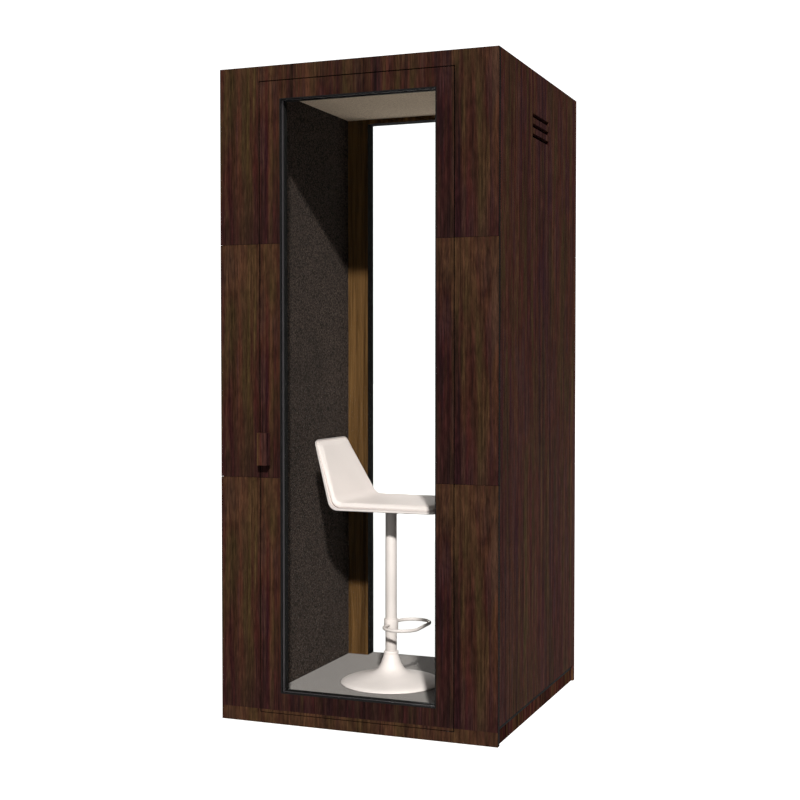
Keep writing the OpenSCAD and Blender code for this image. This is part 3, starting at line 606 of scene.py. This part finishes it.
def bent_path(points, radius, counts):
    """Points along two straight runs with a round bend between them."""
    a, corner, b = (Vector(p) for p in points)
    to_a, to_b = (a - corner).normalized(), (b - corner).normalized()
    half = to_a.angle(to_b) / 2
    reach = radius / math.tan(half)
    start, end = corner + to_a * reach, corner + to_b * reach
    centre = corner + (to_a + to_b).normalized() * (radius / math.sin(half))
    turn = math.pi - 2 * half
    way = 1 if (start - centre).cross(end - centre) > 0 else -1
    first = math.atan2(start.y - centre.y, start.x - centre.x)
    path = [a.lerp(start, i / counts[0]) for i in range(counts[0])]
    angles = [first + way * turn * i / counts[1] for i in range(counts[1])]
    path += [centre + radius * Vector((math.cos(a), math.sin(a))) for a in angles]
    path += [end.lerp(b, i / counts[2]) for i in range(counts[2] + 1)]
    return path


def seat_section(half, low, high, round_low, round_high):
    """One cross-section as (y, h) points: a flat oblong with rounded corners."""
    def arc(side, edge, radius, start):
        up = 1 if edge == high else -1
        turns = [start + math.pi / 2 * k / CORNER_STEPS for k in range(CORNER_STEPS + 1)]
        return [(side * (half - radius) + radius * math.cos(turn),
                 edge - up * radius + radius * math.sin(turn)) for turn in turns]

    def run(p, q):
        return [(p[0] + (q[0] - p[0]) * k / FLAT_STEPS, p[1] + (q[1] - p[1]) * k / FLAT_STEPS)
                for k in range(1, FLAT_STEPS)]

    one = arc(1, low, round_low, -math.pi / 2)
    two = arc(1, high, round_high, 0)
    three = arc(-1, high, round_high, math.pi / 2)
    four = arc(-1, low, round_low, math.pi)
    return one + two + run(two[-1], three[0]) + three + four + run(four[-1], one[0])


def corner_trim(past, radius):
    """How much a round corner takes off the half width, this far past its start."""
    if past <= 0:
        return 0.0
    return radius - math.sqrt(max(radius ** 2 - past ** 2, 1.0))


def seat_stations():
    """Places along the seat, from its front edge to the top of its back: a point of the underside
    and one of the sitting side as (x, z), how thin the edge makes it, and how much narrower."""
    axis, front = STOOL_AXIS[0], SEAT_HIGH[0] - NOSE
    low, high, tip = SEAT_LOW[2], SEAT_LOW[2] + SEAT_T, SEAT_HIGH[2] - NOSE
    outer = bent_path([(front, low), (axis - LOWER_BEND[0], low), (axis - LOWER_TIP, tip)],
                      LOWER_BEND[1], PATH_STEPS)
    inner = bent_path([(front, high), (axis - UPPER_BEND[0], high),
                       (axis - UPPER_TIP, tip + TIP_STEP)], UPPER_BEND[1], PATH_STEPS)

    def nose(place, step):
        return [(outer[place] + step * NOSE * math.sin(a), inner[place] + step * NOSE * math.sin(a),
                 math.cos(a), NOSE * (1 - math.cos(a))) for a in NOSE_ANGLES]

    back_way = (outer[-1] - outer[-2]).normalized()
    return (nose(0, Vector((1, 0)))[::-1] + [(o, i, 1.0, 0.0) for o, i in zip(outer, inner)]
            + nose(-1, back_way))


def seat_rings(share_low, share_high, round_low, round_high, inset):
    """Rings across the seat, from its front edge to the top of its back. Shares are of the
    thickness between the underside and the sitting side."""
    rings = []
    for o, i, squeeze, trim in seat_stations():
        across = i - o
        rise = across.normalized()
        climb = min(max((o.y - SEAT_LOW[2] - SEAT_T) / BACK_RISE, 0.0), 1.0)
        half = SEAT_HALF - inset - trim - BACK_TAPER * climb
        half -= corner_trim(o.x - (SEAT_HIGH[0] - FRONT_CORNER), FRONT_CORNER)
        half -= corner_trim(o.y - (SEAT_HIGH[2] - BACK_CORNER), BACK_CORNER)
        middle = across.length * (share_low + share_high) / 2
        spread = across.length * (share_high - share_low) / 2 * squeeze
        r_low, r_high = (min(r, 0.96 * spread) for r in (round_low, round_high))
        outline = seat_section(half, middle - spread, middle + spread, r_low, r_high)
        rings.append([(o.x + rise.x * h, STOOL_AXIS[1] + y, o.y + rise.y * h) for y, h in outline])
    return rings


CLOTH_FRAMES = 20


def inflate(obj, voxel, pressure, cap):
    """Swells a closed mesh like a stuffed cover: remesh, cloth with pressure, then a cap on how
    far each point moved."""
    remesh = obj.modifiers.new("remesh", "REMESH")
    remesh.mode = "VOXEL"
    remesh.voxel_size = voxel
    even = obj.modifiers.new("even", "SMOOTH")
    even.factor, even.iterations = 0.5, 6
    graph = bpy.context.evaluated_depsgraph_get()
    start = bpy.data.meshes.new_from_object(obj.evaluated_get(graph))
    obj.modifiers.clear()
    obj.data = start
    cloth = obj.modifiers.new("cloth", "CLOTH")
    cloth.settings.use_pressure = True
    cloth.settings.uniform_pressure_force = pressure
    cloth.settings.effector_weights.gravity = 0
    cloth.point_cache.frame_start, cloth.point_cache.frame_end = 1, CLOTH_FRAMES
    for frame_number in range(1, CLOTH_FRAMES + 1):
        SCENE.frame_set(frame_number)
    graph = bpy.context.evaluated_depsgraph_get()
    swollen = [v.co.copy() for v in obj.evaluated_get(graph).data.vertices]
    obj.modifiers.clear()
    SCENE.frame_set(1)
    for vertex, moved in zip(obj.data.vertices, swollen):
        shift = moved - vertex.co
        if shift.length > cap:
            shift *= cap / shift.length
        vertex.co += shift
    fine = obj.modifiers.new("fine", "SUBSURF")
    fine.levels = fine.render_levels = 1
    obj.data.shade_smooth()


PAD_VOXEL = 5.0 * MM
PAD_PRESSURE = 4.0
PAD_SWELL = 3.5 * MM
PIPING_R = 1.7


def build_seat():
    """The bent moulding, the leather pad on it and the piping between them."""
    moulding = add_mesh("seat_moulding", *loft(seat_rings(0.0, SHELL_SHARE, 8.0, 1.5, 1.0)),
                        SEAT_LEATHER, "seat", "seat_leather")
    pad = add_mesh("seat_pad", *loft(seat_rings(SHELL_SHARE, 0.95, 3.5, 13.0, 3.5)),
                   SEAT_LEATHER, "seat", "seat_leather")
    inflate(pad, PAD_VOXEL, PAD_PRESSURE, PAD_SWELL)
    rings = seat_rings(SHELL_SHARE - 0.02, SHELL_SHARE + 0.02, 0.3, 0.3, 1.2)
    loop = [max(ring, key=lambda q: q[1]) for ring in rings]
    loop += [min(ring, key=lambda q: q[1]) for ring in rings[::-1]]
    add_mesh("seat_piping", *loft(tube(loop, PIPING_R, 10, closed=True), closed=True), SEAM,
             "seat", "seat_leather")
    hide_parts("seat_shell")
    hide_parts("seat_shell")
    build_stitches(pad, rings)


STITCH_INSET = 17.0
STITCH_GAP = 7.0
STITCH_HALF = 2.5
STITCH_R = 0.42
STITCH_LIFT = 0.15
STITCH_ARCH = ((-1, -0.35), (-0.6, 0.2), (0, 0.35), (0.6, 0.2), (1, -0.35))


def stitch_line(rings):
    """The closed line that the stitches follow, above the sitting side, as (point, way out)."""
    middles = [Vector(ring[0]) for ring in rings]
    sides = ([], [])
    for ring, behind, middle, ahead in zip(rings[1:], middles, middles[1:], middles[2:]):
        if min((middle - middles[0]).length, (middle - middles[-1]).length) < STITCH_INSET:
            continue
        spread = [q[1] for q in ring]
        along = ahead - behind
        out = Vector((along.z, 0, -along.x)).normalized()
        for side, edge in zip(sides, (max(spread) - STITCH_INSET, min(spread) + STITCH_INSET)):
            side.append((Vector((middle.x, edge, middle.z)) + out * SEAT_T, out))
    return sides[0] + sides[1][::-1]


def build_stitches(pad, rings):
    """A row of stitches round the sitting side, on the swollen cover."""
    cover = BVHTree.FromPolygons([v.co / MM for v in pad.data.vertices],
                                 [tuple(f.vertices) for f in pad.data.polygons])
    line = stitch_line(rings)
    verts, faces = [], []
    places = even_points([tuple(q) for q, _ in line], STITCH_GAP)
    for here, ahead in zip(places, places[1:] + places[:1]):
        # The way out is the one of the nearest points of the line, weighted by nearness.
        out = sum((turn / ((q - here).length_squared + 4) ** 2 for q, turn in line), Vector())
        spot, normal = cover.ray_cast(here, -out.normalized())[:2]
        if spot is None or (ahead - here).length > 2 * STITCH_GAP:
            continue
        way = ahead - here
        way = (way - normal * way.dot(normal)).normalized() * STITCH_HALF
        spot = spot + normal * STITCH_LIFT
        path = [tuple(spot + way * k + normal * rise) for k, rise in STITCH_ARCH]
        add_skin(verts, faces, loft(tube(path, STITCH_R, 6, closed=False)))
    add_mesh("seat_stitches", verts, faces, SEAM, "seat", "seat_leather")


# ---------------------------------------------------------------- stool foot, painted shadow strips, panel marks

def build_base():
    """The stool's flared foot, turned from (radius, height) points above the carpet."""
    low, high = mm_box("stool_base")
    r = (high[0] - low[0]) / 2
    rim = [(0.5, 0.6), (r - 6, 0.6), (r - 2.0, 0.9), (r - 0.5, 2.2), (r - 0.2, 4.0), (r - 1.3, 5.7)]
    dish = smooth_curve([(r - 3.5, 6.8), (r * 0.93, 12.2), (r * 0.82, 18.0), (r * 0.65, 25.0),
                         (80, 36), (60, 45), (48, 55), (39, 70), (32, 88), (27.5, 104)], 5)
    neck = [(26.6, 108), (26.9, 109.5), (27.2, 111), (27.2, 115), (26.6, 117), (25.0, 117.9),
            (21.2, 118)]
    profile = [(a, low[2] + b) for a, b in rim + dish + neck]
    base = add_mesh("stool_foot", *spun(profile, STOOL_AXIS, 144), FOOT_WHITE_PAINTED_LIGHTER, "booth",
                    "stool_white")
    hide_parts("stool_base")


PAINTED_SHADOW_HEIGHT = 12.0       # height of the black strip, the painted shadow in the joint
STRIP_SUNK = 1.0        # how deep the strip goes into the skirting
STRIP_PROUD = 0.5       # how far it stands out from it
STRIP_END = 0.5         # how far it stops from the skirting's ends
STRIP_TOP = 0.4         # and from its top


def build_shadow_strips():
    """A black strip in the joint between each side board and the skirting under it: painted shadow,
    standing for the shade that the board's overhang casts there.
    """
    low, high = mm_box("side_skirtings")
    verts, faces = [], []
    for side in (-1, 1):
        face = high[0] if side > 0 else low[0]
        x0, x1 = sorted((face - side * STRIP_SUNK, face + side * STRIP_PROUD))
        y0, y1 = low[1] + STRIP_END, high[1] - STRIP_END
        z0, z1 = high[2] - PAINTED_SHADOW_HEIGHT, high[2] - STRIP_TOP
        rings = [[(x0, y, z0), (x1, y, z0), (x1, y, z1), (x0, y, z1)]
                 for y in (y0, (y0 + y1) / 2, y1)]
        add_skin(verts, faces, loft(rings))
    add_mesh("skirting_shadow_strips", verts, faces, RUBBER, "booth", "seal_rubber", smooth=False)


DIAL_MARKS = 10
DIAL_SWEEP = 270.0
MARK_GAP = 4.0          # from the dial to the dots
MARK_R, MARK_GROWTH = 0.5, 0.07
MARK_HEIGHT = 0.35
SCREW_R = 2.2
SCREW_HEIGHT = 0.8
SCREW_INSET = 5.0
STUD_SIDES = 14


def build_panel_marks():
    """Raised dots round the fan dial, wider from low to high, and four screw heads."""
    low, high = mm_box("control_panel")
    dial_low, dial_high = mm_box("fan_dial")
    centre = [(a + b) / 2 for a, b in zip(dial_low, dial_high)]
    reach = (dial_high[2] - dial_low[2]) / 2 + MARK_GAP
    face = low[0]
    verts, faces = [], []
    turns = [2 * math.pi * k / STUD_SIDES for k in range(STUD_SIDES)]

    def stud(y, z, radius, height):
        profile = [(0.01, height), (radius * 0.6, height), (radius * 0.92, height * 0.7),
                   (radius, -0.2)]
        rings = [[(face - h, y + r * math.cos(a), z + r * math.sin(a)) for a in turns]
                 for r, h in profile]
        add_skin(verts, faces, loft(rings))

    for k in range(DIAL_MARKS):
        turn = math.radians(-DIAL_SWEEP / 2 + DIAL_SWEEP * k / (DIAL_MARKS - 1))
        stud(centre[1] + reach * math.sin(turn), centre[2] + reach * math.cos(turn),
             MARK_R + MARK_GROWTH * k, MARK_HEIGHT)
    for y in (low[1] + SCREW_INSET, high[1] - SCREW_INSET):
        for z in (low[2] + SCREW_INSET, high[2] - SCREW_INSET):
            stud(y, z, SCREW_R, SCREW_HEIGHT)
    add_mesh("panel_marks", verts, faces, BLACK_PLASTIC, "booth", "panel_plastic")


build_seat()
build_base()
build_panel_marks()
build_shadow_strips()


# ---------------------------------------------------------------- stage: floor, light, camera

# Each sun's name, direction, strength and width in degrees: a hard key and a soft rim.
SUNS = (("key", Vector((-0.46, 1.0, -0.61)), 5.3, 2.6),
        ("rim", Vector((0.60, -0.80, -0.10)), 2.6, 25.0))
SUN_COLOUR = (1.0, 0.975, 0.955)
FLOOR_HALF = 60.0
FLOOR_GLOW, FLOOR_SEEN = 0.36, 1.02     # the floor's light on the booth, and as seen
SKY_FILL, SKY_SEEN = 0.27, 1.25
CAMERA_PLACE = (1.787, -4.653, 1.2465)
CAMERA_DOWN, CAMERA_TURN = 1.684, 21.36
CAMERA_LENS, CAMERA_SENSOR = 61.32, 36.0


def stage_floor():
    """A wide pale floor that reads as white and lights the booth only softly."""
    mesh = bpy.data.meshes.new("studio_floor")
    bm = bmesh.new()
    bmesh.ops.create_grid(bm, x_segments=4, y_segments=4, size=FLOOR_HALF)
    bm.to_mesh(mesh)
    bm.free()
    floor = bpy.data.objects.new("studio_floor", mesh)
    SCENE.collection.objects.link(floor)
    t = Tree("pale_floor")
    t.shader.inputs["Base Color"].default_value = (0.30, 0.30, 0.30, 1)
    t.shader.inputs["Roughness"].default_value = 0.9
    t.shader.inputs["Specular IOR Level"].default_value = 0.0
    t.shader.inputs["Emission Color"].default_value = (1.0, 0.995, 0.985, 1)
    path = t.new("ShaderNodeLightPath")
    glow = t.span(path.outputs["Is Camera Ray"], 0.0, 1.0, FLOOR_GLOW, FLOOR_SEEN)
    t.links.new(glow, t.shader.inputs["Emission Strength"])
    mesh.materials.append(t.mat)


def studio_light():
    """A white background, an even fill and the suns."""
    world = bpy.data.worlds.new("studio")
    SCENE.world = world
    world.use_nodes = True
    nodes, links = world.node_tree.nodes, world.node_tree.links
    seen = nodes["Background"]
    seen.inputs["Color"].default_value = (1, 1, 1, 1)
    seen.inputs["Strength"].default_value = SKY_SEEN
    fill = nodes.new("ShaderNodeBackground")
    fill.inputs["Color"].default_value = (1.0, 0.98, 0.96, 1)
    fill.inputs["Strength"].default_value = SKY_FILL
    path = nodes.new("ShaderNodeLightPath")
    mix = nodes.new("ShaderNodeMixShader")
    links.new(path.outputs["Is Camera Ray"], mix.inputs["Fac"])
    links.new(fill.outputs[0], mix.inputs[1])
    links.new(seen.outputs[0], mix.inputs[2])
    links.new(mix.outputs[0], nodes["World Output"].inputs["Surface"])

    for name, direction, energy, spread in SUNS:
        sun = bpy.data.lights.new(name, "SUN")
        sun.energy = energy
        sun.angle = math.radians(spread)
        sun.color = SUN_COLOUR
        lamp = bpy.data.objects.new(name, sun)
        lamp.rotation_mode = "QUATERNION"
        lamp.rotation_quaternion = direction.to_track_quat("-Z", "Y")
        lamp.location = -4 * direction
        SCENE.collection.objects.link(lamp)


def camera():
    data = bpy.data.cameras.new("view")
    data.sensor_width = CAMERA_SENSOR
    data.lens = CAMERA_LENS
    data.clip_start, data.clip_end = 0.05, 200.0
    cam = bpy.data.objects.new("view", data)
    cam.location = CAMERA_PLACE
    cam.rotation_euler = Euler((math.radians(90 - CAMERA_DOWN), 0, math.radians(CAMERA_TURN)))
    SCENE.collection.objects.link(cam)
    SCENE.camera = cam


stage_floor()
studio_light()
camera()
SCENE.view_settings.view_transform = "Standard"
SCENE.view_settings.look = "None"
